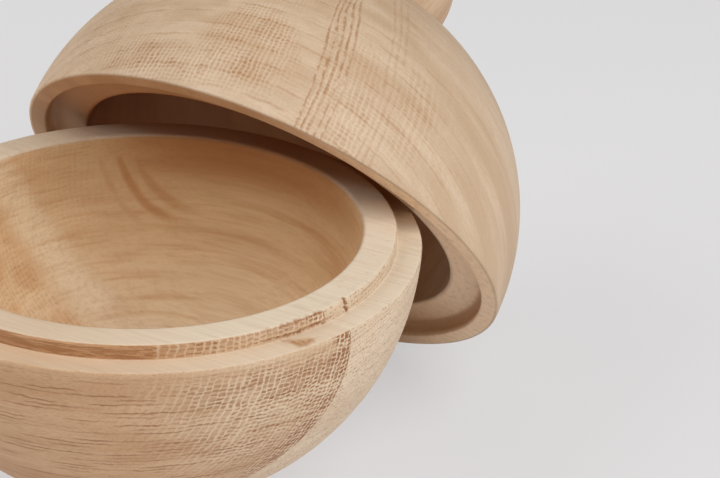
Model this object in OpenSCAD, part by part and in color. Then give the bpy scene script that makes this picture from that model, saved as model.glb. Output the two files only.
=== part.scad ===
// A hollow wooden ball that opens into a bowl and a domed lid with a ball knob.
// The bowl stands on a low turned foot. The lid is off: its mouth leans on the
// bowl's ledge, and its rim stands on the table behind the bowl.
// Sizes are in millimetres. The origin is the middle of the foot's underside.

/* [Ball] */
// Outer diameter of the closed ball
ball_d = 120; // [108:1:150]
// How far the parting line lies below the ball's centre
parting_drop = 2.5; // [0.5:0.5:5]
// Rounding of the outer edges at the parting line, on the bowl and on the lid
edge_ease = 0.4; // [0.2:0.1:0.8]

/* [Bowl] */
// Thickness of the bowl's wall
bowl_wall = 13; // [11:0.5:18]
// Thickness of the raised ring that locates the lid
spigot_wall = 7.5; // [5:0.5:9]
// Height of the raised ring above the ledge
spigot_h = 3.2; // [2:0.2:6]
// Rounding of the bowl's inner rim
rim_ease = 1; // [0.4:0.1:1.5]
// Rounding of the raised ring's outer edge
spigot_ease = 0.6; // [0.2:0.1:1]

/* [Foot] */
// Diameter of the face that the bowl stands on
foot_d = 44; // [42:1:56]
// Height of the ball's lowest point above the table
foot_h = 5; // [4.5:0.5:8]
// How far the foot's edge stands out past its neck
foot_lip = 1.5; // [0.5:0.5:2.5]
// Radius of the hollow curve between the neck and the ball
cove_r = 5; // [3.5:0.5:5]

/* [Lid] */
// Thickness of the lid's wall
lid_wall = 13.5; // [11.5:0.5:18]
// Gap all round between the raised ring and the lid's recess
seat_clearance = 1.2; // [0.3:0.1:1.5]
// How much deeper the recess is than the raised ring is high
seat_depth_clearance = 0.6; // [0.2:0.1:1.5]
// Radius of the curve in the recess's corner
recess_corner_r = 1.5; // [0.5:0.1:1.8]

/* [Knob] */
// Diameter of the ball knob
knob_d = 40; // [30:1:44]
// Height of the knob's centre above the lid's crown
knob_rise = 6; // [4:0.5:10]
// Diameter of the knob's tenon
tenon_d = 14; // [10:1:18]
// Length of the tenon below the knob's flat seat
tenon_l = 7; // [5:0.5:8]
// Glue gap round the tenon
tenon_clearance = 0.1; // [0.05:0.05:0.3]
// Glue gap under the tenon
tenon_end_clearance = 0.5; // [0.2:0.1:1]

/* [Rest] */
// Angle between the leaning lid's axis and upright, in degrees
lean = 51.5; // [47:0.5:56]
// Slack between the lid's mouth and the bowl's ledge
rest_gap = 0.1; // [0:0.05:0.5]

/* [Hidden] */
$fn = 180;

oak = [0.80, 0.68, 0.52];
oak_knob = [0.75, 0.62, 0.47];
over = 1; // how far each cut runs past the wood
blend = 0.0003; // how far each rounding runs into the ball that it joins, so that no sliver is left

// Heights above the table
ball_r = ball_d / 2;
ball_z = foot_h + ball_r;
ledge_z = ball_z - parting_drop;
rim_z = ledge_z + spigot_h;

// Radii at the parting line
parting_r = sqrt(pow(ball_r, 2) - pow(parting_drop, 2));
bowl_hollow_r = ball_r - bowl_wall;
bowl_mouth_r = sqrt(pow(bowl_hollow_r, 2) - pow(rim_z - ball_z, 2));
spigot_r = bowl_mouth_r + spigot_wall;

// The foot's hollow curve touches the ball from outside
foot_r = foot_d / 2;
cove_x = foot_r - foot_lip + cove_r;
cove_z = ball_z - sqrt(pow(ball_r + cove_r - blend, 2) - pow(cove_x, 2));
cove_reach = ball_r / (ball_r + cove_r);
foot_top_r = cove_x * cove_reach;
foot_top_z = ball_z - (ball_z - cove_z) * cove_reach;

// The lid's own frame has the rim's plane at z = 0 and the crown up
lid_ball_z = parting_drop;
recess_r = spigot_r + seat_clearance;
recess_depth = spigot_h + seat_depth_clearance;
lid_hollow_r = ball_r - lid_wall;
lid_mouth_r = sqrt(pow(lid_hollow_r, 2) - pow(recess_depth - lid_ball_z, 2));

// The knob sits on a flat where its ball crosses the dome
knob_r = knob_d / 2;
knob_offset = ball_r + knob_rise;
knob_ball_z = lid_ball_z + knob_offset;
knob_seat_z = lid_ball_z + (pow(ball_r, 2) - pow(knob_r, 2) + pow(knob_offset, 2)) / (2 * knob_offset);
tenon_r = tenon_d / 2;

// The leaning lid's rim stands on the table
rim_round_r = sqrt(pow(ball_r - edge_ease + blend, 2) - pow(lid_ball_z - edge_ease, 2));
lid_z = rim_round_r * sin(lean) - edge_ease * cos(lean) + edge_ease;
// Its mouth's edge crosses the ledge's height this far up the slope, as a share of the radius
up_slope = (ledge_z - lid_z - recess_depth * cos(lean)) / (lid_mouth_r * sin(lean));
// There, left and right, it meets the ledge's edge
rest_y = sqrt(pow(parting_r, 2) - pow(lid_mouth_r, 2) * (1 - pow(up_slope, 2)));
lid_y = rest_y + lid_mouth_r * cos(lean) * up_slope - recess_depth * sin(lean) + rest_gap;

// Half of a ball's outline, cut level at height top, with its edge rounded to meet both smoothly
module cut_ball_outline(radius, centre, top, ease) {
    round_y = top - ease;
    round_x = sqrt(pow(radius - ease + blend, 2) - pow(round_y - centre, 2));
    touch_y = centre + (round_y - centre) * radius / (radius - ease);
    intersection() {
        translate([0, centre]) circle(r = radius);
        translate([0, touch_y - 2 * radius]) square([radius + over, 2 * radius]);
    }
    translate([0, touch_y - over]) square([round_x, top - touch_y + over]);
    translate([round_x, round_y]) circle(r = ease);
}

// The cut that rounds the mouth of a ball-shaped hollow in a face at height top
module mouth_cut(radius, centre, top, ease) {
    round_y = top - ease;
    round_x = sqrt(pow(radius + ease - blend, 2) - pow(round_y - centre, 2));
    touch_y = centre + (round_y - centre) * radius / (radius + ease);
    difference() {
        translate([0, touch_y]) square([round_x, top - touch_y + over]);
        translate([round_x, round_y]) circle(r = ease);
    }
}

// The cut that rounds a square edge of wood: the wood lies below it, on its axis side
module edge_cut(x, y, ease) {
    difference() {
        translate([x - ease, y - ease]) square(ease + over);
        translate([x - ease, y - ease]) circle(r = ease);
    }
}

// The same for an edge with the wood on its outer side
module inner_edge_cut(x, y, ease) {
    difference() {
        translate([x - over, y - ease]) square(ease + over);
        translate([x + ease, y - ease]) circle(r = ease);
    }
}

// A flat recess from height top down, with a curve in its corner
module recess_cut(radius, top, depth, corner) {
    translate([0, top - depth + corner]) square([radius, depth - corner + over]);
    translate([0, top - depth]) square([radius - corner, depth + over]);
    translate([radius - corner, top - depth + corner]) circle(r = corner);
}

// The foot's outline: a thin band, then the hollow curve up to the ball
module foot_outline() {
    difference() {
        union() {
            square([foot_r, cove_z]);
            translate([0, cove_z]) square([foot_top_r, foot_top_z - cove_z]);
        }
        translate([cove_x, cove_z]) circle(r = cove_r);
    }
}

// Turns an outline about the axis, and leaves out what lies left of it
module turned() {
    rotate_extrude() {
        intersection() {
            children();
            translate([0, -2 * ball_d]) square([2 * ball_d, 4 * ball_d]);
        }
    }
}

module bowl() {
    color(oak) turned() difference() {
        union() {
            cut_ball_outline(ball_r, ball_z, ledge_z, edge_ease);
            translate([0, ledge_z - over]) square([spigot_r, spigot_h + over]);
            foot_outline();
        }
        translate([0, ball_z]) circle(r = bowl_hollow_r);
        mouth_cut(bowl_hollow_r, ball_z, rim_z, rim_ease);
        edge_cut(spigot_r, rim_z, spigot_ease);
    }
}

// Rim and recess of the lid, drawn with the rim up
module lid_rim_outline() {
    difference() {
        cut_ball_outline(ball_r, -lid_ball_z, 0, edge_ease);
        recess_cut(recess_r, 0, recess_depth, recess_corner_r);
        inner_edge_cut(recess_r, 0, edge_ease);
        translate([0, -lid_ball_z]) circle(r = lid_hollow_r);
        mouth_cut(lid_hollow_r, -lid_ball_z, -recess_depth, edge_ease);
    }
}

module lid() {
    tenon_hole_h = tenon_l + tenon_end_clearance;
    color(oak) leaning() turned() difference() {
        mirror([0, 1]) lid_rim_outline();
        translate([0, knob_seat_z]) square(ball_r);
        translate([0, knob_seat_z - tenon_hole_h]) square([tenon_r + tenon_clearance, tenon_hole_h + over]);
    }
}

module knob() {
    color(oak_knob) leaning() turned() {
        difference() {
            translate([0, knob_ball_z]) circle(r = knob_r);
            translate([-knob_d, knob_seat_z - 2 * knob_d]) square(2 * knob_d);
        }
        translate([0, knob_seat_z - tenon_l]) square([tenon_r, tenon_l + over]);
    }
}

// From the lid's own frame to its place against the bowl
module leaning() {
    translate([0, lid_y, lid_z]) rotate([-lean, 0, 0]) children();
}

bowl();
lid();
knob();
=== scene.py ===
import bpy
import numpy as np
from mathutils import Matrix


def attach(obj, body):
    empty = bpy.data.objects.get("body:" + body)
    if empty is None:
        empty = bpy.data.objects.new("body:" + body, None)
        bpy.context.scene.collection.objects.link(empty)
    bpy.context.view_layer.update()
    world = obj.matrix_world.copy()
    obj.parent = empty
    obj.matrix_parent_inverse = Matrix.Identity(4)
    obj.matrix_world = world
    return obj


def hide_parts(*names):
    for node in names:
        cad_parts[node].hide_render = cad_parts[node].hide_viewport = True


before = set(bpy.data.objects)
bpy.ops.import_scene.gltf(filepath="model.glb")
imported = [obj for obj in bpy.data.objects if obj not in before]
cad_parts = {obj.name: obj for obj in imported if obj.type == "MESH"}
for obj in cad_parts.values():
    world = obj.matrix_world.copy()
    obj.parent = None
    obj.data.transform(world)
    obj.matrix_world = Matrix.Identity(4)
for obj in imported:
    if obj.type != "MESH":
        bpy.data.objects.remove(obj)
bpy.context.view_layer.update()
print("the packed model is loaded")

scene = bpy.context.scene
scene.view_settings.view_transform = "Standard"


# camera: placed where the photograph was taken from
cameraView = {
    "place": (246.9, -369.0, 280.2),
    "right": (0.87818, 0.47755, 0.02717),
    "up": (-0.23205, 0.37567, 0.89723),
    "lens": 114.46,
}


def makeCamera(view):
    right, up = np.array(view["right"]), np.array(view["up"])
    back = np.cross(right, up)
    turn = np.stack([right, up, back], axis=1)
    place = np.eye(4)
    place[:3, :3] = turn / np.linalg.norm(turn, axis=0)
    place[:3, 3] = np.array(view["place"]) / 1000
    data = bpy.data.cameras.new("camera")
    data.lens = view["lens"]
    data.sensor_width = 36
    data.clip_start = 0.01
    camera = bpy.data.objects.new("camera", data)
    camera.matrix_world = Matrix(place.tolist())
    scene.collection.objects.link(camera)
    scene.camera = camera


makeCamera(cameraView)


# node helpers
def put(tree, kind, values=None, **settings):
    # one node, with its settings, and each input set to a value or joined to an output
    made = tree.nodes.new(kind)
    for key, value in settings.items():
        setattr(made, key, value)
    for key, value in (values or {}).items():
        join(tree, value, made.inputs[key])
    return made


def join(tree, value, socket):
    if isinstance(value, bpy.types.NodeSocket):
        tree.links.new(value, socket)
    else:
        socket.default_value = value


def calc(tree, operation, *values, clamp=False):
    made = tree.nodes.new("ShaderNodeMath")
    made.operation = operation
    made.use_clamp = clamp
    for socket, value in zip(made.inputs, values):
        join(tree, value, socket)
    return made.outputs[0]


def ramp(tree, value, low, high, bottom=0.0, top=1.0):
    # smooth step from bottom to top as value goes from low to high
    made = put(tree, "ShaderNodeMapRange", interpolation_type="SMOOTHSTEP")
    for socket, number in zip(made.inputs, (value, low, high, bottom, top)):
        join(tree, number, socket)
    return made.outputs[0]


def blend(tree, factor, first, second, mode="MIX"):
    made = put(tree, "ShaderNodeMix", data_type="RGBA", blend_type=mode)
    join(tree, factor, made.inputs[0])
    join(tree, first, made.inputs[6])
    join(tree, second, made.inputs[7])
    return made.outputs[2]


def stretched(tree, vector, scale):
    made = put(tree, "ShaderNodeVectorMath", operation="MULTIPLY")
    join(tree, vector, made.inputs[0])
    made.inputs[1].default_value = scale
    return made.outputs[0]


def cloud(tree, vector, scale, detail=2.0, roughness=0.5):
    # noise from 0 to 1 round 0.5, over coordinates stretched by scale
    made = put(tree, "ShaderNodeTexNoise", {"Scale": 1.0, "Detail": detail, "Roughness": roughness})
    join(tree, stretched(tree, vector, scale), made.inputs["Vector"])
    return made.outputs[0], made.outputs[1]


def newGroup(name, inputs, outputs):
    tree = bpy.data.node_groups.new(name, "ShaderNodeTree")
    for label, kind, value in inputs:
        socket = tree.interface.new_socket(name=label, in_out="INPUT", socket_type=kind)
        if value is not None:
            socket.default_value = value
    for label, kind in outputs:
        tree.interface.new_socket(name=label, in_out="OUTPUT", socket_type=kind)
    return tree, tree.nodes.new("NodeGroupInput").outputs, tree.nodes.new("NodeGroupOutput").inputs


# wood figure: where the rings and the rays of the board cross the surface
# In its coordinates X runs along the fibres, Y across the rays and Z across the rings, in millimetres.
def makeFigureGroup():
    number = "NodeSocketFloat"
    tree, given, result = newGroup("oakFigure", [
        ("Place", "NodeSocketVector", None), ("Seed", number, 0.0), ("Ring gap", number, 4.7),
        ("Column gap", number, 1.4), ("Row width", number, 0.46), ("Column width", number, 0.7),
        ("Row share", number, 1.0), ("Column share", number, 1.0), ("Wander", number, 1.0), ("Row step", number, 0.5),
    ], [("Weave", number), ("Threads", number), ("Rings", number), ("Dashes", number), ("Streaks", number),
        ("Bands", number), ("Pores", number), ("Hair", number)])
    seed = put(tree, "ShaderNodeCombineXYZ", {0: given["Seed"], 1: given["Seed"], 2: given["Seed"]})
    moved = put(tree, "ShaderNodeVectorMath", operation="ADD")
    join(tree, given["Place"], moved.inputs[0])
    join(tree, seed.outputs[0], moved.inputs[1])
    place = moved.outputs[0]
    axes = put(tree, "ShaderNodeSeparateXYZ", {0: given["Place"]}).outputs
    wide = put(tree, "ShaderNodeSeparateColor", {0: cloud(tree, place, (0.015, 0.035, 0.035), 1.0)[1]}).outputs
    small = put(tree, "ShaderNodeSeparateColor", {0: cloud(tree, place, (0.09, 0.34, 0.34), 1.5)[1]}).outputs
    tiny = put(tree, "ShaderNodeSeparateColor", {0: cloud(tree, place, (0.5, 0.9, 0.9), 1.5, 0.6)[1]}).outputs

    def around(value, amount):
        # value from 0 to 1 made a signed number, amount wide
        return calc(tree, "MULTIPLY", calc(tree, "SUBTRACT", value, 0.5), amount)

    def chance(kind, socket, value):
        made = put(tree, "ShaderNodeTexWhiteNoise", noise_dimensions=kind)
        join(tree, value, made.inputs[socket])
        return made.outputs[0]

    def wandered(axis, channel, slow, quick, quiver):
        drift = calc(tree, "ADD", around(wide[channel], slow), around(small[channel], quick))
        drift = calc(tree, "ADD", drift, around(tiny[channel], quiver))
        return calc(tree, "ADD", axes[axis], calc(tree, "MULTIPLY", drift, given["Wander"]))

    across, height = wandered("Y", 0, 3.2, 1.3, 0.75), wandered("Z", 1, 2.4, 1.3, 0.75)
    ring = calc(tree, "DIVIDE", height, given["Ring gap"])
    row = calc(tree, "MULTIPLY", ring, 4.0)
    column = calc(tree, "DIVIDE", across, given["Column gap"])
    rowId, columnId = calc(tree, "ROUND", row), calc(tree, "ROUND", column)
    columnChance = chance("1D", "W", columnId)
    fromRow = calc(tree, "PINGPONG", row, 0.5)
    # the weave's rows step up and down a little from column to column
    stepped = calc(tree, "ADD", row, around(columnChance, given["Row step"]))
    steppedId, fromStepped = calc(tree, "ROUND", stepped), calc(tree, "PINGPONG", stepped, 0.5)
    fromColumn = calc(tree, "PINGPONG", column, 0.5)
    fromRing = calc(tree, "MULTIPLY", calc(tree, "PINGPONG", ring, 0.5), given["Ring gap"])
    rowChance = chance("1D", "W", steppedId)
    cellId = put(tree, "ShaderNodeCombineXYZ", {0: steppedId, 1: columnId}).outputs[0]
    cellChance = chance("2D", "Vector", cellId)
    fine, _ = cloud(tree, place, (0.45, 1.5, 2.0), 2.0, 0.6)
    ringNear = ramp(tree, fromRing, 0.35, 0.95, 1.0, 0.0)

    # weave: dark dashes along the rows, cut by light columns
    loose = calc(tree, "ADD", around(fine, 0.36), around(cellChance, 0.30))
    rowReach = calc(tree, "SUBTRACT", calc(tree, "ADD", fromStepped, calc(tree, "ADD", loose, around(rowChance, 0.22))),
                    calc(tree, "ADD", calc(tree, "MULTIPLY", given["Row width"], 0.5),
                         calc(tree, "MULTIPLY", ringNear, 0.05)))
    rowDark = ramp(tree, rowReach, -0.13, 0.13, 1.0, 0.0)
    columnReach = calc(tree, "SUBTRACT", calc(tree, "ADD", fromColumn, calc(tree, "ADD", around(fine, 0.24),
                       around(columnChance, 0.16))), calc(tree, "MULTIPLY", given["Column width"], 0.5))
    columnDark = ramp(tree, columnReach, -0.13, 0.13, 1.0, 0.0)

    def shared(dark, share):
        # dark where share is 1, and 1 all over where share is 0
        return calc(tree, "SUBTRACT", 1.0, calc(tree, "MULTIPLY", calc(tree, "SUBTRACT", 1.0, dark), share))

    weave = calc(tree, "MULTIPLY", shared(rowDark, given["Row share"]), shared(columnDark, given["Column share"]))
    patch, _ = cloud(tree, place, (0.10, 0.22, 0.20), 2.0)
    tone = calc(tree, "ADD", calc(tree, "ADD", 0.74, around(cellChance, 0.58)), calc(tree, "MULTIPLY", ringNear, 0.16))
    tone = calc(tree, "MULTIPLY", tone, ramp(tree, patch, 0.34, 0.60, 0.58, 1.15))
    join(tree, calc(tree, "MULTIPLY", weave, tone), result["Weave"])
    threads = calc(tree, "MULTIPLY", calc(tree, "SUBTRACT", 1.0, columnDark), given["Column share"])
    join(tree, threads, result["Threads"])

    # dark line where the rings meet, here and there
    gate, _ = cloud(tree, place, (0.05, 0.16, 0.3), 2.0)
    ringLine = ramp(tree, calc(tree, "ADD", fromRing, around(fine, 0.7)), 0.10, 0.62, 1.0, 0.0)
    join(tree, calc(tree, "MULTIPLY", ringLine, ramp(tree, gate, 0.42, 0.62)), result["Rings"])

    # long thin pores in rows, cut lengthwise
    rowPlace = put(tree, "ShaderNodeCombineXYZ", {
        0: calc(tree, "MULTIPLY", axes["X"], 0.075), 1: calc(tree, "MULTIPLY", axes["Y"], 0.10),
        2: calc(tree, "MULTIPLY", rowId, 9.7)}).outputs[0]
    present = put(tree, "ShaderNodeTexNoise", {"Scale": 1.0, "Detail": 1.5, "Vector": rowPlace}).outputs[0]
    present = calc(tree, "ADD", present, calc(tree, "MULTIPLY", ringNear, 0.07))
    thin = ramp(tree, calc(tree, "ADD", fromRow, around(fine, 0.42)), 0.03, 0.26, 1.0, 0.0)
    join(tree, calc(tree, "MULTIPLY", thin, ramp(tree, present, 0.48, 0.66)), result["Dashes"])

    # soft streaks and hair lines along the fibres
    soft, _ = cloud(tree, place, (0.045, 0.75, 1.1), 2.5, 0.6)
    join(tree, soft, result["Streaks"])
    hair, _ = cloud(tree, place, (0.07, 3.2, 4.2), 1.5, 0.6)
    join(tree, hair, result["Hair"])
    slow, _ = cloud(tree, place, (0.014, 0.06, 0.15), 2.0, 0.6)
    ringTone = chance("1D", "W", calc(tree, "FLOOR", ring))
    join(tree, calc(tree, "ADD", slow, around(ringTone, 0.10)), result["Bands"])

    # small open pores, crowded in the rows
    dot, _ = cloud(tree, place, (0.8, 2.3, 2.9), 0.5)
    inRow = ramp(tree, fromRow, 0.10, 0.34, 1.0, 0.15)
    join(tree, calc(tree, "MULTIPLY", ramp(tree, dot, 0.57, 0.68), inRow), result["Pores"])
    return tree


oakFigure = makeFigureGroup()
print("the wood figure is ready")


# shapes turned about an axis
def arc(centre, radius, start, end, count):
    # points (r, z) on a circle from angle start to end, in degrees from the r axis
    angles = np.radians(np.linspace(start, end, count))
    return np.stack([centre[0] + radius * np.cos(angles), centre[1] + radius * np.sin(angles)], axis=1)


def line(first, last, count):
    share = np.linspace(0, 1, count)[:, None]
    return np.array(first) * (1 - share) + np.array(last) * share


def joined(*stretches):
    # one outline from its stretches, without doubled points
    points = np.concatenate(stretches)
    keep = np.ones(len(points), bool)
    keep[1:] = np.linalg.norm(np.diff(points, axis=0), axis=1) > 1e-4
    return points[keep]


def turnedPiece(name, outline, angles, relief=None, place=None, marks=None):
    # each outline point (r, z) at each angle a goes to (r cos a, r sin a, z), moved along the
    # outline's normal by relief(a, r, z, step along the outline); the two end points are poles
    inner = outline[1:-1]
    slope = np.gradient(outline, axis=0)[1:-1]
    slope /= np.linalg.norm(slope, axis=1)[:, None]
    away = np.stack([slope[:, 1], -slope[:, 0]], axis=1)
    a, r = np.meshgrid(angles, inner[:, 0])
    _, z = np.meshgrid(angles, inner[:, 1])
    step = np.meshgrid(angles, np.arange(len(inner)))[1]
    push = relief(a, r, z, step) if relief else np.zeros_like(a)
    rr = r + away[:, :1] * push
    zz = z + away[:, 1:] * push
    grid = np.stack([rr * np.cos(a), rr * np.sin(a), zz], axis=2).reshape(-1, 3)
    points = np.concatenate([grid, [[0, 0, outline[0, 1]], [0, 0, outline[-1, 1]]]])
    rows, columns = len(inner), len(angles)
    i, j = np.meshgrid(np.arange(rows - 1), np.arange(columns), indexing="ij")
    k = (j + 1) % columns
    quads = np.stack([i * columns + j, i * columns + k, (i + 1) * columns + k, (i + 1) * columns + j], axis=2).reshape(-1, 4)
    j = np.arange(columns)
    k = (j + 1) % columns
    first = np.stack([np.full(columns, rows * columns), k, j], axis=1)
    last = np.stack([np.full(columns, rows * columns + 1), (rows - 1) * columns + j, (rows - 1) * columns + k], axis=1)
    # six times the volume by the triangles from the origin: its sign says which way the faces point
    triangles = np.concatenate([quads[:, :3], quads[:, [0, 2, 3]], first, last])
    p = points[triangles]
    if np.einsum("ij,ij->i", p[:, 0], np.cross(p[:, 1], p[:, 2])).sum() < 0:
        quads, first, last = quads[:, ::-1], first[:, ::-1], last[:, ::-1]
    if place is not None:
        points = points @ place[:3, :3].T + place[:3, 3]
    mesh = bpy.data.meshes.new(name)
    mesh.vertices.add(len(points))
    mesh.vertices.foreach_set("co", (points / 1000).ravel())
    corners = np.concatenate([quads.ravel(), first.ravel(), last.ravel()])
    sizes = np.concatenate([np.full(len(quads), 4), np.full(2 * columns, 3)])
    mesh.loops.add(len(corners))
    mesh.loops.foreach_set("vertex_index", corners.astype(np.int32))
    mesh.polygons.add(len(sizes))
    mesh.polygons.foreach_set("loop_start", (np.cumsum(sizes) - sizes).astype(np.int32))
    mesh.polygons.foreach_set("use_smooth", np.ones(len(sizes), bool))
    mesh.update(calc_edges=True)
    mesh.validate()
    for label, values in (marks(a, r, z) if marks else {}).items():
        data = mesh.attributes.new(label, "FLOAT", "POINT")
        data.data.foreach_set("value", np.concatenate([values.ravel(), [0, 0]]).astype(np.float32))
    piece = bpy.data.objects.new(name, mesh)
    scene.collection.objects.link(piece)
    return piece


def spreadAngles(fineFrom, fineTo, fineStep, coarseStep):
    # angles round the axis, closer together between fineFrom and fineTo, in degrees from the x axis
    fine = np.arange(fineFrom, fineTo, fineStep)
    rest = np.linspace(fineTo, fineFrom + 360, int((360 - (fineTo - fineFrom)) / coarseStep), endpoint=False)
    return np.radians(np.concatenate([fine, rest]))


# bowl
bowlShape = {
    "ballRadius": 60.0, "ballHeight": 65.0, "ledgeHeight": 62.5, "rimHeight": 65.7,
    "hollowRadius": 47.0, "ringRadius": 54.495, "rimEase": 1.0, "ringEase": 0.6, "edgeEase": 0.4,
    "footRadius": 22.0, "footNeck": 20.5, "footCove": 5.0, "footEase": 0.3,
}


def bowlOutline(s):
    ball = (0, s["ballHeight"])
    big, hollow = s["ballRadius"], s["hollowRadius"]
    rimEase, ringEase, edgeEase = s["rimEase"], s["ringEase"], s["edgeEase"]
    rimZ = s["rimHeight"] - rimEase
    rimR = np.sqrt((hollow + rimEase) ** 2 - (rimZ - ball[1]) ** 2)
    rimTurn = np.degrees(np.arctan2(rimZ - ball[1], rimR))
    edgeZ = s["ledgeHeight"] - edgeEase
    edgeR = np.sqrt((big - edgeEase) ** 2 - (edgeZ - ball[1]) ** 2)
    edgeTurn = np.degrees(np.arctan2(edgeZ - ball[1], edgeR))
    coveR = s["footNeck"] + s["footCove"]
    coveZ = ball[1] - np.sqrt((big + s["footCove"]) ** 2 - coveR ** 2)
    coveTurn = np.degrees(np.arctan2(coveZ - ball[1], coveR))
    bandTurn = 180 + np.degrees(np.arccos((coveR - s["footRadius"]) / s["footCove"]))
    bandZ = coveZ + s["footCove"] * np.sin(np.radians(bandTurn))
    return joined(
        arc(ball, hollow, -90, rimTurn, 46),
        arc((rimR, rimZ), rimEase, 180 + rimTurn, 90, 7),
        line((rimR, s["rimHeight"]), (s["ringRadius"] - ringEase, s["rimHeight"]), 10),
        arc((s["ringRadius"] - ringEase, s["rimHeight"] - ringEase), ringEase, 90, 0, 6),
        line((s["ringRadius"], s["rimHeight"] - ringEase), (s["ringRadius"], s["ledgeHeight"] + 0.05), 15),
        line((s["ringRadius"] + 0.05, s["ledgeHeight"]), (edgeR, s["ledgeHeight"]), 15),
        arc((edgeR, edgeZ), edgeEase, 90, edgeTurn, 6),
        arc(ball, big, edgeTurn, coveTurn, 60),
        arc((coveR, coveZ), s["footCove"], 180 + coveTurn, bandTurn, 9),
        line((s["footRadius"], bandZ), (s["footRadius"], s["footEase"]), 3),
        arc((s["footRadius"] - s["footEase"], s["footEase"]), s["footEase"], 0, -90, 4),
        line((s["footRadius"] - s["footEase"], 0), (0, 0), 6),
    )


# places where the tool tore the wood of the bowl's joint, in degrees from the front to the right
bowlFlaws = {
    "tornEdge": (59.5, 75.0), "tornFoot": (60.0, 74.0), "footHeight": 63.05, "crack": 81.7,
    "tornDepth": 0.45, "crackDepth": 0.55, "patchDepth": 0.12,
    "patch": ((48.6, -24.6), (53.2, -25.4), (54.4, -24.0), (54.1, -20.1)),
}


def uneven(x, seed):
    # smooth random wave from -1 to 1, with a new value at each whole number
    values = np.random.RandomState(seed).uniform(-1, 1, 4096)
    low = np.floor(x).astype(int)
    share = x - low
    share = share * share * (3 - 2 * share)
    return values[low % 4096] * (1 - share) + values[(low + 1) % 4096] * share


def within(x, low, high, soft):
    # 1 between low and high, and straight down to 0 over the soft stretch outside
    return np.clip(np.minimum(x - low, high - x) / soft + 1, 0, 1)


def tornWood(a, r, z):
    # share of full depth at each point, for the ring's torn wall and crack, and for the patch on the ledge
    s, f = bowlShape, bowlFlaws
    turn = (np.degrees(a) + 270) % 360 - 180
    top, ledge, ring = s["rimHeight"], s["ledgeHeight"], s["ringRadius"]
    nearWall = within(r, ring - 0.9, ring + 0.02, 0.3) * (z > ledge + 0.02)
    chips = within(turn, *f["tornEdge"], 2) * np.clip(0.3 + 0.55 * uneven(turn * 1.6, 1) + 0.4 * uneven(turn * 4.2, 2), 0, 1)
    edge = chips * np.clip(1 - (top - z + ring - r) / (0.5 + 0.9 * chips), 0, 1)
    tear = within(turn, *f["tornFoot"], 2) * np.clip(0.45 + 0.5 * uneven(turn * 1.3, 3) + 0.4 * uneven(turn * 3.7, 4), 0, 1)
    foot = tear * np.clip(1.2 - np.abs(z - f["footHeight"] - 0.12 * uneven(turn * 0.8, 5)) / 0.42, 0, 1)
    split = f["crack"] + 0.45 * uneven(z * 2.3 + 3, 6)
    crack = np.clip(1.35 - np.abs(turn - split) / 0.42, 0, 1)
    torn = nearWall * np.maximum(np.maximum(edge, foot), crack)
    x, y = r * np.cos(a), r * np.sin(a)
    corners = np.array(f["patch"])
    reach = np.full_like(x, 9.0)
    for (x0, y0), (x1, y1) in zip(corners, np.roll(corners, -1, axis=0)):
        across = ((x1 - x0) * (y - y0) - (y1 - y0) * (x - x0)) / np.hypot(x1 - x0, y1 - y0)
        reach = np.minimum(reach, across)
    patch = np.clip(0.35 + reach / 1.3 + 0.25 * uneven(turn * 2.5, 8), 0, 1) * (r > ring) * (np.abs(z - ledge) < 0.1)
    return torn, patch


def bowlRelief(a, r, z, step):
    torn, patch = tornWood(a, r, z)
    return torn * bowlFlaws["tornDepth"] + patch * bowlFlaws["patchDepth"]


def bowlMarks(a, r, z):
    torn, patch = tornWood(a, r, z)
    return {"torn": torn, "patch": patch}


bowl = turnedPiece("bowl_turned", bowlOutline(bowlShape), spreadAngles(-52, 12, 0.3, 1.0), bowlRelief, marks=bowlMarks)
print("the bowl is turned")


# lid and knob, made with the rim's plane at z = 0 and the crown up, then leant
lidShape = {
    "ballRadius": 60.0, "ballHeight": 2.5, "hollowRadius": 46.5, "mouthDepth": 3.8,
    "recessRadius": 55.695, "recessCorner": 1.5, "edgeEase": 0.4,
    "seatHeight": 59.742, "holeRadius": 7.1, "holeDepth": 7.5,
    "lean": 51.5, "rimCentre": (0, 49.293, 46.765),
}
knobShape = {"radius": 20.0, "height": 68.5, "seatHeight": 59.742, "tenonRadius": 7.0, "tenonLength": 7.0, "ease": 0.25}


def leaning(s):
    lean = np.radians(s["lean"])
    place = np.eye(4)
    place[1, 1], place[1, 2] = np.cos(lean), np.sin(lean)
    place[2, 1], place[2, 2] = -np.sin(lean), np.cos(lean)
    place[:3, 3] = s["rimCentre"]
    return place


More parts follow.
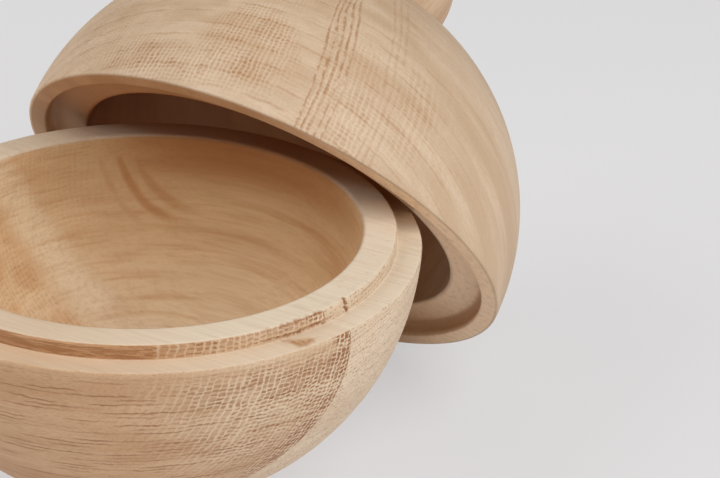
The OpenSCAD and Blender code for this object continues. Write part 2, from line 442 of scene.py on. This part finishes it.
def lidOutline(s):
    ball = (0, s["ballHeight"])
    big, hollow, ease, corner = s["ballRadius"], s["hollowRadius"], s["edgeEase"], s["recessCorner"]
    mouthZ = s["mouthDepth"] + ease
    mouthR = np.sqrt((hollow + ease) ** 2 - (mouthZ - ball[1]) ** 2)
    mouthTurn = np.degrees(np.arctan2(mouthZ - ball[1], mouthR))
    edgeR = np.sqrt((big - ease) ** 2 - (ease - ball[1]) ** 2)
    edgeTurn = np.degrees(np.arctan2(ease - ball[1], edgeR))
    seatTurn = np.degrees(np.arcsin((s["seatHeight"] - ball[1]) / big))
    seatR = big * np.cos(np.radians(seatTurn))
    return joined(
        arc(ball, hollow, 90, mouthTurn, 44),
        arc((mouthR, mouthZ), ease, 180 + mouthTurn, 270, 5),
        line((mouthR, s["mouthDepth"]), (s["recessRadius"] - corner, s["mouthDepth"]), 10),
        arc((s["recessRadius"] - corner, s["mouthDepth"] - corner), corner, 90, 0, 6),
        line((s["recessRadius"], s["mouthDepth"] - corner), (s["recessRadius"], ease), 4),
        arc((s["recessRadius"] + ease, ease), ease, 180, 270, 5),
        line((s["recessRadius"] + ease, 0), (edgeR, 0), 5),
        arc((edgeR, ease), ease, -90, edgeTurn, 5),
        arc(ball, big, edgeTurn, seatTurn, 64),
        line((seatR, s["seatHeight"]), (s["holeRadius"], s["seatHeight"]), 4),
        line((s["holeRadius"], s["seatHeight"]), (s["holeRadius"], s["seatHeight"] - s["holeDepth"]), 3),
        line((s["holeRadius"], s["seatHeight"] - s["holeDepth"]), (0, s["seatHeight"] - s["holeDepth"]), 3),
    )


def knobOutline(s):
    turn = np.degrees(np.arcsin((s["seatHeight"] - s["height"]) / s["radius"]))
    seatR = s["radius"] * np.cos(np.radians(turn))
    end = s["seatHeight"] - s["tenonLength"]
    return joined(
        line((0, end), (s["tenonRadius"], end), 3),
        line((s["tenonRadius"], end), (s["tenonRadius"], s["seatHeight"]), 3),
        line((s["tenonRadius"], s["seatHeight"]), (seatR - s["ease"], s["seatHeight"]), 4),
        arc((0, s["height"]), s["radius"], turn + 0.8, 90, 60),
    )


lidPlace = leaning(lidShape)
lid = turnedPiece("lid_turned", lidOutline(lidShape), spreadAngles(-150, 40, 0.45, 1.2), place=lidPlace)
knob = turnedPiece("knob_turned", knobOutline(knobShape), spreadAngles(0, 180, 1.0, 1.0), place=lidPlace)
print("the lid and the knob are turned")


# materials
# each wood's inner colour is painted shade, multiplied into the hollows where little light reaches; in the bowl it also
# stands for warm light bounced round the hollow
bowlWood = {
    "light": (0.735, 0.572, 0.405), "middle": (0.620, 0.432, 0.272), "dark": (0.335, 0.143, 0.055),
    "brown": (0.84, 0.65, 0.49), "inner": (1.00, 0.875, 0.665), "pale": (0.82, 0.70, 0.545), "roughness": 0.56,
    "threads": 0.44, "weaveShare": 1.0, "ringGap": 4.1, "columnGap": 1.16, "rowWidth": 0.52, "columnWidth": 0.74,
    "rowShare": 1.0, "columnShare": 1.0, "wander": 0.75, "rowStep": 0.42, "bump": 0.6,
}
lidWood = {
    "light": (0.688, 0.545, 0.400), "middle": (0.580, 0.425, 0.285), "dark": (0.385, 0.190, 0.076),
    "brown": (0.86, 0.66, 0.49), "inner": (0.70, 0.50, 0.35), "pale": (0.94, 0.725, 0.51), "roughness": 0.56,
    "threads": 0.22, "weaveShare": 0.92, "ringGap": 4.3, "columnGap": 1.08, "rowWidth": 0.55, "columnWidth": 0.60,
    "rowShare": 0.66, "columnShare": 0.80, "wander": 0.7, "rowStep": 0.35, "bump": 0.3,
}
knobWood = {
    "light": (0.665, 0.515, 0.372), "middle": (0.570, 0.402, 0.262), "dark": (0.390, 0.190, 0.092),
    "brown": (0.90, 0.72, 0.57), "inner": (0.90, 0.72, 0.57), "pale": (0.75, 0.60, 0.45), "roughness": 0.56,
    "threads": 0.26, "weaveShare": 0.80, "ringGap": 3.6, "columnGap": 1.9, "rowWidth": 0.55, "columnWidth": 0.5,
    "rowShare": 0.7, "columnShare": 0.8, "wander": 0.8, "rowStep": 0.3, "bump": 0.3,
}


def dotted(tree, vector, direction):
    made = put(tree, "ShaderNodeVectorMath", operation="DOT_PRODUCT")
    join(tree, vector, made.inputs[0])
    made.inputs[1].default_value = tuple(float(v) for v in direction)
    return made.outputs["Value"]


def combined(tree, *terms):
    # sum of value times number, for pairs of the two, and of any plain number at the end
    total = None
    for term in terms:
        part = calc(tree, "MULTIPLY", *term) if isinstance(term, tuple) else term
        total = part if total is None else calc(tree, "ADD", total, part)
    return total


def oakMaterial(name, wood, fibre, across, origin, seed, boards):
    # fibre and across are unit vectors: along the fibres, and across the rays
    material = bpy.data.materials.new(name)
    material.use_nodes = True
    tree = material.node_tree
    tree.nodes.clear()
    coordinates = put(tree, "ShaderNodeTexCoord")
    fromOrigin = put(tree, "ShaderNodeVectorMath", operation="SUBTRACT")
    join(tree, coordinates.outputs["Object"], fromOrigin.inputs[0])
    fromOrigin.inputs[1].default_value = tuple(v / 1000 for v in origin)
    fibre, across = np.array(fibre, float), np.array(across, float)
    up = np.cross(fibre, across)
    inMillimetres = [dotted(tree, fromOrigin.outputs[0], direction * 1000) for direction in (fibre, across, up)]
    place = put(tree, "ShaderNodeCombineXYZ", dict(enumerate(inMillimetres))).outputs[0]
    normal = put(tree, "ShaderNodeNewGeometry").outputs["Normal"]
    axes = {"X": inMillimetres[0], "Y": inMillimetres[1], "Z": inMillimetres[2],
            "facing": calc(tree, "ABSOLUTE", dotted(tree, normal, fibre)), "upright": dotted(tree, normal, up)}
    board = {"place": place, "weave": 0.0, "pores": 0.15, "dashes": 0.3, "rings": 0.2, "calm": 0.0,
             "brown": 0.0, "inner": 0.0, "pale": 0.0, "marks": 0.0, "threads": 0.0, "streaks": 0.42, "hair": 0.16}
    board.update(boards(tree, place, axes))
    figure = put(tree, "ShaderNodeGroup", node_tree=oakFigure)
    for label, value in (("Place", board["place"]), ("Seed", seed), ("Ring gap", wood["ringGap"]),
                         ("Column gap", wood["columnGap"]), ("Row width", wood["rowWidth"]),
                         ("Column width", wood["columnWidth"]), ("Row share", wood["rowShare"]),
                         ("Column share", wood["columnShare"]), ("Wander", wood["wander"]), ("Row step", wood["rowStep"])):
        join(tree, value, figure.inputs[label])
    out = figure.outputs
    clear = calc(tree, "SUBTRACT", 1.0, board["calm"])

    def part(value, *factors):
        for factor in factors:
            value = calc(tree, "MULTIPLY", value, factor, clamp=factor is factors[-1])
        return value

    light, middle, dark = (wood[key] + (1,) for key in ("light", "middle", "dark"))
    brown, inner, pale = (wood[key] + (1,) for key in ("brown", "inner", "pale"))
    weave = part(out["Weave"], board["weave"])
    colour = blend(tree, ramp(tree, out["Bands"], 0.30, 0.70), light, middle)
    colour = blend(tree, board["pale"], colour, pale)
    colour = blend(tree, calc(tree, "MULTIPLY", ramp(tree, out["Streaks"], 0.44, 0.72), board["streaks"]), colour, middle)
    colour = blend(tree, calc(tree, "MULTIPLY", ramp(tree, out["Hair"], 0.45, 0.72), board["hair"]), colour, dark)
    # brown holds the wood's own browner tone and, on the bowl and the lid, painted shade
    colour = blend(tree, board["brown"], colour, brown, "MULTIPLY")
    # painted shade: the hollows are tinted with the inner colour
    colour = blend(tree, board["inner"], colour, inner, "MULTIPLY")
    colour = blend(tree, part(out["Dashes"], board["dashes"], clear), colour, dark)
    colour = blend(tree, part(out["Rings"], board["rings"], clear), colour, dark)
    colour = blend(tree, part(out["Pores"], board["pores"], clear), colour, dark)
    colour = blend(tree, part(out["Threads"], board["weave"], wood["threads"]), colour, pale)
    colour = blend(tree, part(weave, wood["weaveShare"]), colour, dark)
    colour = blend(tree, board["threads"], colour, light)
    # marks hold dark joints, tear-out and grain, and painted shade
    colour = blend(tree, board["marks"], colour, dark)
    low = combined(tree, (weave, 1.0), (part(out["Dashes"], board["dashes"]), 0.6),
                   (part(out["Pores"], board["pores"]), 0.5), (board["marks"], 0.6), (out["Hair"], 0.25))
    bump = put(tree, "ShaderNodeBump", {
        "Strength": wood["bump"], "Distance": 0.0003, "Height": calc(tree, "SUBTRACT", 1.0, low)})
    shader = put(tree, "ShaderNodeBsdfPrincipled", {
        "Base Color": colour, "Roughness": wood["roughness"], "Normal": bump.outputs[0]})
    shader.inputs["Specular IOR Level"].default_value = 0.35
    put(tree, "ShaderNodeOutputMaterial", {"Surface": shader.outputs[0]})
    return material


def largest(tree, first, *others):
    for other in others:
        first = calc(tree, "MAXIMUM", first, other)
    return first


def between(tree, value, low, high, soft):
    # 1 between low and high, with soft edges
    return calc(tree, "MULTIPLY", ramp(tree, value, low - soft, low + soft), ramp(tree, value, high - soft, high + soft, 1.0, 0.0))


def bowlBoards(tree, place, axes):
    # three boards are glued side by side; the front one ends at the first joint
    x, y, z = axes["X"], axes["Y"], axes["Z"]
    drop = calc(tree, "ADD", z, 10.0)
    past = combined(tree, (y, 1.0), 13.2, (calc(tree, "MULTIPLY", drop, drop), 0.0135))
    front = ramp(tree, past, -0.06, 0.06, 1.0, 0.0)
    second = combined(tree, (y, 1.0), (x, -0.15), (z, 0.277), -13.6)
    back = ramp(tree, second, -0.06, 0.06)
    lengthSquared = combined(tree, (x, x), (y, y), (z, z))
    fromCentre = calc(tree, "SQRT", lengthSquared)
    fromAxis = calc(tree, "SQRT", combined(tree, (x, x), (y, y)))
    inside = ramp(tree, fromCentre, 47.05, 47.25, 1.0, 0.0)
    outside = calc(tree, "SUBTRACT", 1.0, inside)
    flat = calc(tree, "MULTIPLY", ramp(tree, axes["upright"], 0.75, 0.95), outside)
    wall = calc(tree, "MULTIPLY", between(tree, fromAxis, 54.2, 54.9, 0.1), between(tree, z, -2.35, 0.5, 0.1))
    # end grain shows where the surface faces along the fibres, most of all near the joint
    turned = ramp(tree, axes["facing"], 0.40, 0.90)
    nearJoint = ramp(tree, past, -7.0, -2.0)
    strength = combined(tree, (front, 0.76), (calc(tree, "MULTIPLY", front, nearJoint), 0.90), 0.14)
    weave = calc(tree, "MULTIPLY", calc(tree, "MULTIPLY", turned, strength), outside)
    belowEdge = calc(tree, "MAXIMUM", ramp(tree, z, -6.5, -3.3, 1.0, 0.2), nearJoint)
    rounded = calc(tree, "MULTIPLY", ramp(tree, fromAxis, 48.4, 49.0, 1.0, 0.0), ramp(tree, z, -6.0, -5.0))
    weave = calc(tree, "MULTIPLY", weave, calc(tree, "SUBTRACT", belowEdge, rounded))
    # faint hatch on the hollow's left side
    innerLeft = ramp(tree, combined(tree, (x, 0.2), (y, 1.0), (z, 0.4)), -9.0, -4.5, 1.0, 0.0)
    innerFar = calc(tree, "MULTIPLY", ramp(tree, x, -38.0, -26.0, 1.0, 0.0), ramp(tree, y, 6.0, 14.0))
    innerWeave = calc(tree, "MAXIMUM", calc(tree, "MULTIPLY", innerLeft, 0.20), calc(tree, "MULTIPLY", innerFar, 0.11))
    weave = calc(tree, "MAXIMUM", weave, calc(tree, "MULTIPLY", innerWeave, inside))
    tornWall = calc(tree, "MULTIPLY", wall, calc(tree, "MULTIPLY", front, ramp(tree, x, 31.3, 31.7)))
    weave = calc(tree, "MAXIMUM", weave, calc(tree, "MULTIPLY", tornWall, 0.68))
    darkWall = calc(tree, "MULTIPLY", wall, ramp(tree, x, 31.3, 31.7, 1.0, 0.0))
    leftBrown = calc(tree, "MULTIPLY", calc(tree, "MULTIPLY", front, outside), ramp(tree, x, 26.0, 50.0, 1.0, 0.15))
    notFlat = calc(tree, "SUBTRACT", 1.0, flat)
    ledge = calc(tree, "MULTIPLY", flat, ramp(tree, z, -1.5, -0.5, 1.0, 0.0))
    patch = put(tree, "ShaderNodeAttribute", attribute_name="patch").outputs["Fac"]
    torn = put(tree, "ShaderNodeAttribute", attribute_name="torn").outputs["Fac"]
    brown = combined(tree, (leftBrown, ramp(tree, z, -12.0, -4.0, 0.76, 0.60)), (darkWall, 0.66), (tornWall, 0.25))
    brown = calc(tree, "MULTIPLY", brown, combined(tree, (notFlat, 0.9), (ledge, 0.34), 0.1))
    # painted shade: the side under the lid, in the hollow and on the far rim, is painted browner and darker in place of
    # the lid's shadow
    paintedShadeOnRim = calc(tree, "MULTIPLY", ramp(tree, y, 38.0, 46.0), ramp(tree, x, -14.0, 8.0, 0.60, 1.0))
    shaded = combined(tree, (ramp(tree, y, 28.0, 46.0), inside), (paintedShadeOnRim, outside))
    shaded = calc(tree, "MULTIPLY", shaded, ramp(tree, z, -14.0, -3.0))
    brown = largest(tree, combined(tree, (patch, 0.8), brown), shaded)
    paleBoard = calc(tree, "MULTIPLY", calc(tree, "SUBTRACT", 1.0, front), outside)
    flatPale = combined(tree, (calc(tree, "MULTIPLY", flat, ramp(tree, x, 5.0, 40.0, 0.55, 0.97)), 1.0),
                        (calc(tree, "MULTIPLY", ledge, front), -0.40))
    pale = calc(tree, "MAXIMUM", calc(tree, "MULTIPLY", paleBoard, 0.52), flatPale)
    # painted shade also takes the paleness out under the lid
    pale = calc(tree, "MULTIPLY", pale, combined(tree, (patch, -0.8), (shaded, -0.8), 1.0), clamp=True)
    # a pale streak of sapwood crosses the hollow
    wavy, _ = cloud(tree, place, (0.05, 0.05, 0.05), 2.0)
    streak = calc(tree, "ABSOLUTE", combined(tree, (x, 0.2), (y, 1.0), (z, 0.4), (wavy, 5.0), -2.8))
    streak = calc(tree, "MULTIPLY", ramp(tree, streak, 1.6, 8.0, 1.0, 0.0), inside)
    # painted light: the hollow's bottom, and a little of its left wall, are painted paler where the lamps reach them
    paintedLightLow = calc(tree, "MAXIMUM", ramp(tree, z, -44.0, -18.0, 1.0, 0.26), ramp(tree, x, -44.0, -22.0, 0.32, 0.0))
    paintedLightLow = calc(tree, "MULTIPLY", paintedLightLow, inside)
    pale = largest(tree, pale, calc(tree, "MULTIPLY", streak, 0.95), paintedLightLow)
    # soft arcs where the rings cross the hollow
    arcs, _ = cloud(tree, place, (0.025, 0.04, 0.50), 2.5, 0.65)
    arcMarks = calc(tree, "MULTIPLY", ramp(tree, arcs, 0.46, 0.72, 0.0, 0.20), inside)
    # and a few dark rings on the far side
    ringSide = calc(tree, "MULTIPLY", ramp(tree, x, -20.0, -10.0, 1.0, 0.0), between(tree, z, -19.0, -4.0, 2.5))
    ringSide = calc(tree, "MULTIPLY", calc(tree, "MULTIPLY", ringSide, ramp(tree, y, 20.0, 26.0)), inside)
    ringPlace = combined(tree, (x, -0.27), (y, 1.0), (wavy, 0.6), -0.3)
    for middle, half, strength in ((41.6, 0.7, 0.14), (43.75, 0.8, 0.36), (45.4, 0.7, 0.26), (47.2, 0.6, 0.14)):
        fromRing = calc(tree, "ABSOLUTE", calc(tree, "SUBTRACT", ringPlace, middle))
        darkRing = calc(tree, "MULTIPLY", ramp(tree, fromRing, 0.1, half, strength, 0.0), ringSide)
        arcMarks = calc(tree, "MAXIMUM", arcMarks, darkRing)
    brown = calc(tree, "MAXIMUM", brown, calc(tree, "MULTIPLY", arcMarks, 2.6), clamp=True)
    # brown blotches left of the pale streak
    blotches, _ = cloud(tree, place, (0.10, 0.13, 0.16), 2.0, 0.6)
    blotches = calc(tree, "MULTIPLY", ramp(tree, blotches, 0.38, 0.62, 0.08, 0.62), calc(tree, "MULTIPLY", innerLeft, inside))
    brown = calc(tree, "MAXIMUM", brown, blotches)
    rough, _ = cloud(tree, place, (1.6, 1.6, 2.2), 2.0, 0.6)
    tornMarks = calc(tree, "MULTIPLY", torn, ramp(tree, rough, 0.32, 0.62, 0.8, 1.7), clamp=True)
    wallGrain, _ = cloud(tree, place, (0.10, 0.6, 1.7), 2.0, 0.6)
    wallMarks = calc(tree, "MULTIPLY", darkWall, ramp(tree, wallGrain, 0.38, 0.60, 0.03, 0.68))
    patchMarks = calc(tree, "MULTIPLY", patch, ramp(tree, rough, 0.38, 0.66, 0.05, 0.62))
    joint = ramp(tree, calc(tree, "ABSOLUTE", past), 0.04, 0.20, 0.42, 0.0)
    joint2 = calc(tree, "MULTIPLY", ramp(tree, calc(tree, "ABSOLUTE", second), 0.04, 0.20, 0.25, 0.0), outside)
    # each board is cut from another part of the tree
    moved = put(tree, "ShaderNodeVectorMath", operation="ADD")
    join(tree, place, moved.inputs[0])
    join(tree, put(tree, "ShaderNodeCombineXYZ", {
        0: calc(tree, "MULTIPLY", back, 71.0), 1: calc(tree, "MULTIPLY", z, -0.15),
        2: combined(tree, (front, 8.0), (calc(tree, "SUBTRACT", 1.0, front), combined(tree, (y, -0.10), 37.0)))}).outputs[0],
        moved.inputs[1])
    dashes = calc(tree, "MULTIPLY", combined(tree, (front, 0.42), (turned, -0.16), 0.34), combined(tree, (flat, -0.85), 1.0))
    dashes = calc(tree, "MULTIPLY", dashes, belowEdge)
    return {
        "place": moved.outputs[0], "weave": weave, "brown": brown, "pale": pale,
        "pores": calc(tree, "MULTIPLY", combined(tree, (paleBoard, 0.66), 0.12), combined(tree, (flat, -0.85), 1.0)), "dashes": dashes,
        "hair": combined(tree, (calc(tree, "MULTIPLY", calc(tree, "MULTIPLY", front, notFlat), outside), 0.14), (outside, 0.06), 0.08),
        "streaks": combined(tree, (notFlat, 0.22), 0.20),
        "rings": calc(tree, "MULTIPLY", calc(tree, "MULTIPLY", combined(tree, (turned, 0.08), 0.06), notFlat), belowEdge),
        "calm": calc(tree, "MAXIMUM", calc(tree, "MULTIPLY", inside, 0.85), rounded),
        # marks: dark joints, tear-out, wall grain and rings, and painted shade under the lid
        "marks": largest(tree, calc(tree, "MULTIPLY", calc(tree, "MAXIMUM", joint, joint2), notFlat),
                         calc(tree, "MULTIPLY", arcMarks, 0.4), tornMarks, wallMarks, patchMarks,
                         calc(tree, "MULTIPLY", shaded, combined(tree, (flat, 0.26), 0.26))),
        # painted shade and warm bounce light: the hollow is tinted with the inner colour, less at the streak and at the
        # painted light low down
        "inner": calc(tree, "MULTIPLY", inside, combined(tree, (streak, -0.24), (paintedLightLow, -0.36), 1.0)),
    }


def spotted(tree, first, second, centre, reach):
    # 1 round a centre on the surface, fading out at the reach, both in the plane of first and second
    a = calc(tree, "DIVIDE", calc(tree, "SUBTRACT", first, centre[0]), reach[0])
    b = calc(tree, "DIVIDE", calc(tree, "SUBTRACT", second, centre[1]), reach[1])
    return ramp(tree, combined(tree, (a, a), (b, b)), 0.25, 1.5, 1.0, 0.0)


def lidBoards(tree, place, axes):
    # X runs along the fibres, out to the rim's front; Y across the rays, to the right; Z up to the knob
    x, y, z = axes["X"], axes["Y"], calc(tree, "SUBTRACT", axes["Z"], 2.5)
    fromCentre = calc(tree, "SQRT", combined(tree, (x, x), (y, y), (z, z)))
    outside = ramp(tree, fromCentre, 59.1, 59.6)
    inside = calc(tree, "SUBTRACT", 1.0, outside)
    hollow = ramp(tree, fromCentre, 46.8, 47.6, 1.0, 0.0)
    # the rays spread a little down the dome, so that their columns bend
    bend = calc(tree, "MAXIMUM", calc(tree, "MINIMUM", calc(tree, "MULTIPLY", y, 0.00033), 0.0075), -0.0075)
    side = combined(tree, (calc(tree, "MULTIPLY", z, z), bend), y)
    patches, _ = cloud(tree, place, (0.05, 0.16, 0.13), 2.0)
    zones = 0.0
    for centre, reach, strength in (((11.5, 12.0), (11.0, 12.0), 1.0), ((-7.0, 3.0), (17.0, 5.5), 0.85),
                                    ((-27.0, 9.0), (10.0, 11.0), 0.5), ((35.5, 9.0), (5.0, 16.0), 0.55),
                                    ((44.0, 14.0), (6.0, 11.0), 0.5), ((8.0, 30.0), (14.0, 6.0), 0.35)):
        zone = calc(tree, "MULTIPLY", spotted(tree, side, z, centre, reach), strength)
        zones = calc(tree, "MAXIMUM", zones, zone)
    turned = ramp(tree, axes["facing"], 0.30, 0.62)
    grain = calc(tree, "MULTIPLY", turned, outside)
    mottled = combined(tree, (zones, 0.76), (patches, 0.52), -0.21)
    weave = calc(tree, "MULTIPLY", grain, mottled, clamp=True)
    # two bands of dark lines run up the dome
    spots, _ = cloud(tree, place, (0.5, 0.7, 0.7), 1.5, 0.6)
    lengthy, _ = cloud(tree, place, (0.05, 0.35, 0.06), 1.5)
    marks, threads = 0.0, 0.0
    for middle, half, gap, strength in ((30.2, 3.2, 1.35, 0.80), (41.2, 2.2, 1.3, 0.28)):
        fromBand = combined(tree, (spots, 0.7), (lengthy, 1.6), (side, 1.0), -middle - 1.15)
        inBand = ramp(tree, calc(tree, "ABSOLUTE", fromBand), half - 0.8, half + 0.7, 1.0, 0.0)
        inBand = calc(tree, "MULTIPLY", inBand, grain)
        lineDark = ramp(tree, calc(tree, "PINGPONG", calc(tree, "DIVIDE", fromBand, gap), 0.5), 0.08, 0.30, 1.0, 0.0)
        lineDark = calc(tree, "MULTIPLY", lineDark, ramp(tree, spots, 0.34, 0.62, 0.25, 1.0))
        lineDark = calc(tree, "MULTIPLY", lineDark, ramp(tree, lengthy, 0.32, 0.52, 0.45, 1.0))
        marks = calc(tree, "MAXIMUM", marks, calc(tree, "MULTIPLY", calc(tree, "MULTIPLY", lineDark, inBand), strength))
        light = calc(tree, "MULTIPLY", calc(tree, "SUBTRACT", 1.0, lineDark), inBand)
        threads = calc(tree, "MAXIMUM", threads, calc(tree, "MULTIPLY", light, strength * 0.25))
        crossed = calc(tree, "MULTIPLY", inBand, ramp(tree, z, 12.0, 30.0, strength * 0.7, strength * 0.3))
        weave = calc(tree, "MAXIMUM", calc(tree, "MULTIPLY", weave, combined(tree, (inBand, -0.5), 1.0)), crossed)
    # rings lie in tilted planes
    tilted = put(tree, "ShaderNodeCombineXYZ", {
        0: x, 1: side, 2: combined(tree, (side, -0.14), (x, -0.48), (z, 1.0), 21.4)}).outputs[0]
    # painted light and shade: the rim and the inside are painted browner on the left and paler on the right, and the
    # dome paler on its left, in place of how the lamps light them; a little brown all over is the wood's own tone
    toRight = ramp(tree, y, 12.0, 46.0)
    face = calc(tree, "SUBTRACT", inside, hollow)
    fromAxis = calc(tree, "SQRT", combined(tree, (x, x), (y, y)))
    # painted shade: the recess's wall and corner are painted dark brown
    corner = calc(tree, "MULTIPLY", between(tree, fromAxis, 54.2, 55.95, 0.9), ramp(tree, axes["Z"], 0.4, 1.6))
    brown = combined(tree, (calc(tree, "MULTIPLY", inside, combined(tree, (toRight, -0.88), 0.95)), 1.0), 0.12)
    brown = calc(tree, "MAXIMUM", brown, calc(tree, "MULTIPLY", corner, inside))
    # painted shade along the recess face on the left
    recess = calc(tree, "MULTIPLY", face, ramp(tree, fromAxis, 54.9, 55.9, 1.0, 0.0))
    recess = calc(tree, "MULTIPLY", recess, calc(tree, "SUBTRACT", 1.0, toRight))
    marks = largest(tree, marks, calc(tree, "MULTIPLY", calc(tree, "MULTIPLY", corner, inside), 0.74),
                    calc(tree, "MULTIPLY", recess, 0.42))
    # painted light: paler on the right of the rim and the inside, and on the left of the dome
    pale = calc(tree, "MAXIMUM", calc(tree, "MULTIPLY", face, calc(tree, "MULTIPLY", toRight, 0.95)),
                calc(tree, "MULTIPLY", outside, ramp(tree, side, -58.0, -5.0, 0.75, 0.0)))
    return {"place": tilted, "weave": weave, "pores": 0.08, "brown": brown, "pale": pale,
            # painted shade: the hollow is darkened with the inner colour, less so on its right
            "inner": calc(tree, "MULTIPLY", hollow, combined(tree, (toRight, -0.95), 1.0)),
            "dashes": calc(tree, "MULTIPLY", outside, combined(tree, (turned, 0.12), 0.05)),
            "rings": calc(tree, "MULTIPLY", outside, combined(tree, (turned, 0.18), 0.08)),
            "calm": calc(tree, "MULTIPLY", inside, 0.9), "marks": marks, "threads": threads}


def knobBoards(tree, place, axes):
    return {"weave": calc(tree, "MULTIPLY", ramp(tree, axes["facing"], 0.3, 0.9), 0.5), "brown": 0.25}


lidTurn = lidPlace[:3, :3]
bowlOak = oakMaterial("bowl_oak_wood", bowlWood, (1, 0, 0), (0, 1, 0), (0, 0, 65), 3.0, bowlBoards)
lidOak = oakMaterial("lid_oak_wood", lidWood, lidTurn @ np.array([0, -1, 0]), lidTurn @ np.array([1, 0, 0]),
                     tuple(lidPlace[:3, 3]), 21.0, lidBoards)
knobOak = oakMaterial("knob_oak_wood", knobWood, lidTurn @ np.array([0, 0, 1]), lidTurn @ np.array([1, 0, 0]),
                      tuple(lidPlace[:3, 3]), 55.0, knobBoards)
print("the oak is ready")

for piece, node, slotName, material in ((bowl, "bowl", "bowl_oak", bowlOak), (lid, "lid", "lid_oak", lidOak),
                                        (knob, "knob", "knob_oak", knobOak)):
    piece.data.materials.append(material)
    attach(piece, "root")
    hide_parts(node)


# floor and light
studio = {
    "floor": (0.88, 0.87, 0.88), "floorSize": 6000,
    "shownFloor": (0.757, 0.757, 0.770), "shownShare": 0.60,
    "world": (1.0, 0.90, 0.80), "worldStrength": 0.185,
    "lamps": {
        "key": {"power": 13.8, "size": 1300, "towards": (1.04, -0.23, 1.00), "distance": 1300},
        "fill": {"power": 7.7, "size": 1200, "towards": (-0.78, -0.65, 0.90), "distance": 1300},
    },
}


def makeFloor(s):
    size = s["floorSize"] / 2000
    mesh = bpy.data.meshes.new("floor")
    mesh.from_pydata([(-size, -size, 0), (size, -size, 0), (size, size, 0), (-size, size, 0)], [], [(0, 1, 2, 3)])
    floor = bpy.data.objects.new("floor", mesh)
    scene.collection.objects.link(floor)
    material = bpy.data.materials.new("floor_paper")
    material.use_nodes = True
    tree = material.node_tree
    shader = tree.nodes["Principled BSDF"]
    shader.inputs["Base Color"].default_value = s["floor"] + (1,)
    shader.inputs["Roughness"].default_value = 0.9
    shader.inputs["Specular IOR Level"].default_value = 0.1
    # what the camera, a gloss or a glass sees is mostly even paper, with a share of the shaded floor
    path = put(tree, "ShaderNodeLightPath").outputs
    seen = calc(tree, "MAXIMUM", path["Is Camera Ray"], calc(tree, "MAXIMUM", path["Is Glossy Ray"], path["Is Transmission Ray"]))
    even = put(tree, "ShaderNodeEmission", {"Color": s["shownFloor"] + (1,), "Strength": 1.0})
    mixed = put(tree, "ShaderNodeMixShader", {0: calc(tree, "MULTIPLY", seen, s["shownShare"])})
    join(tree, shader.outputs[0], mixed.inputs[1])
    join(tree, even.outputs[0], mixed.inputs[2])
    join(tree, mixed.outputs[0], tree.nodes["Material Output"].inputs["Surface"])
    mesh.materials.append(material)


def makeLights(s):
    world = bpy.data.worlds.new("studio")
    world.use_nodes = True
    scene.world = world
    background = world.node_tree.nodes["Background"]
    background.inputs["Color"].default_value = s["world"] + (1,)
    background.inputs["Strength"].default_value = s["worldStrength"]
    for name, lamp in s["lamps"].items():
        light = bpy.data.lights.new(name, "AREA")
        light.shape = "DISK"
        light.size = lamp["size"] / 1000
        light.energy = lamp["power"]
        back = np.array(lamp["towards"]) / np.linalg.norm(lamp["towards"])
        right = np.cross((0, 1, 0), back)
        right /= np.linalg.norm(right)
        turn = np.eye(4)
        turn[:3, :3] = np.stack([right, np.cross(back, right), back], axis=1)
        turn[:3, 3] = back * lamp["distance"] / 1000
        placed = bpy.data.objects.new(name, light)
        placed.matrix_world = Matrix(turn.tolist())
        scene.collection.objects.link(placed)


makeFloor(studio)
makeLights(studio)
print("the studio is ready")
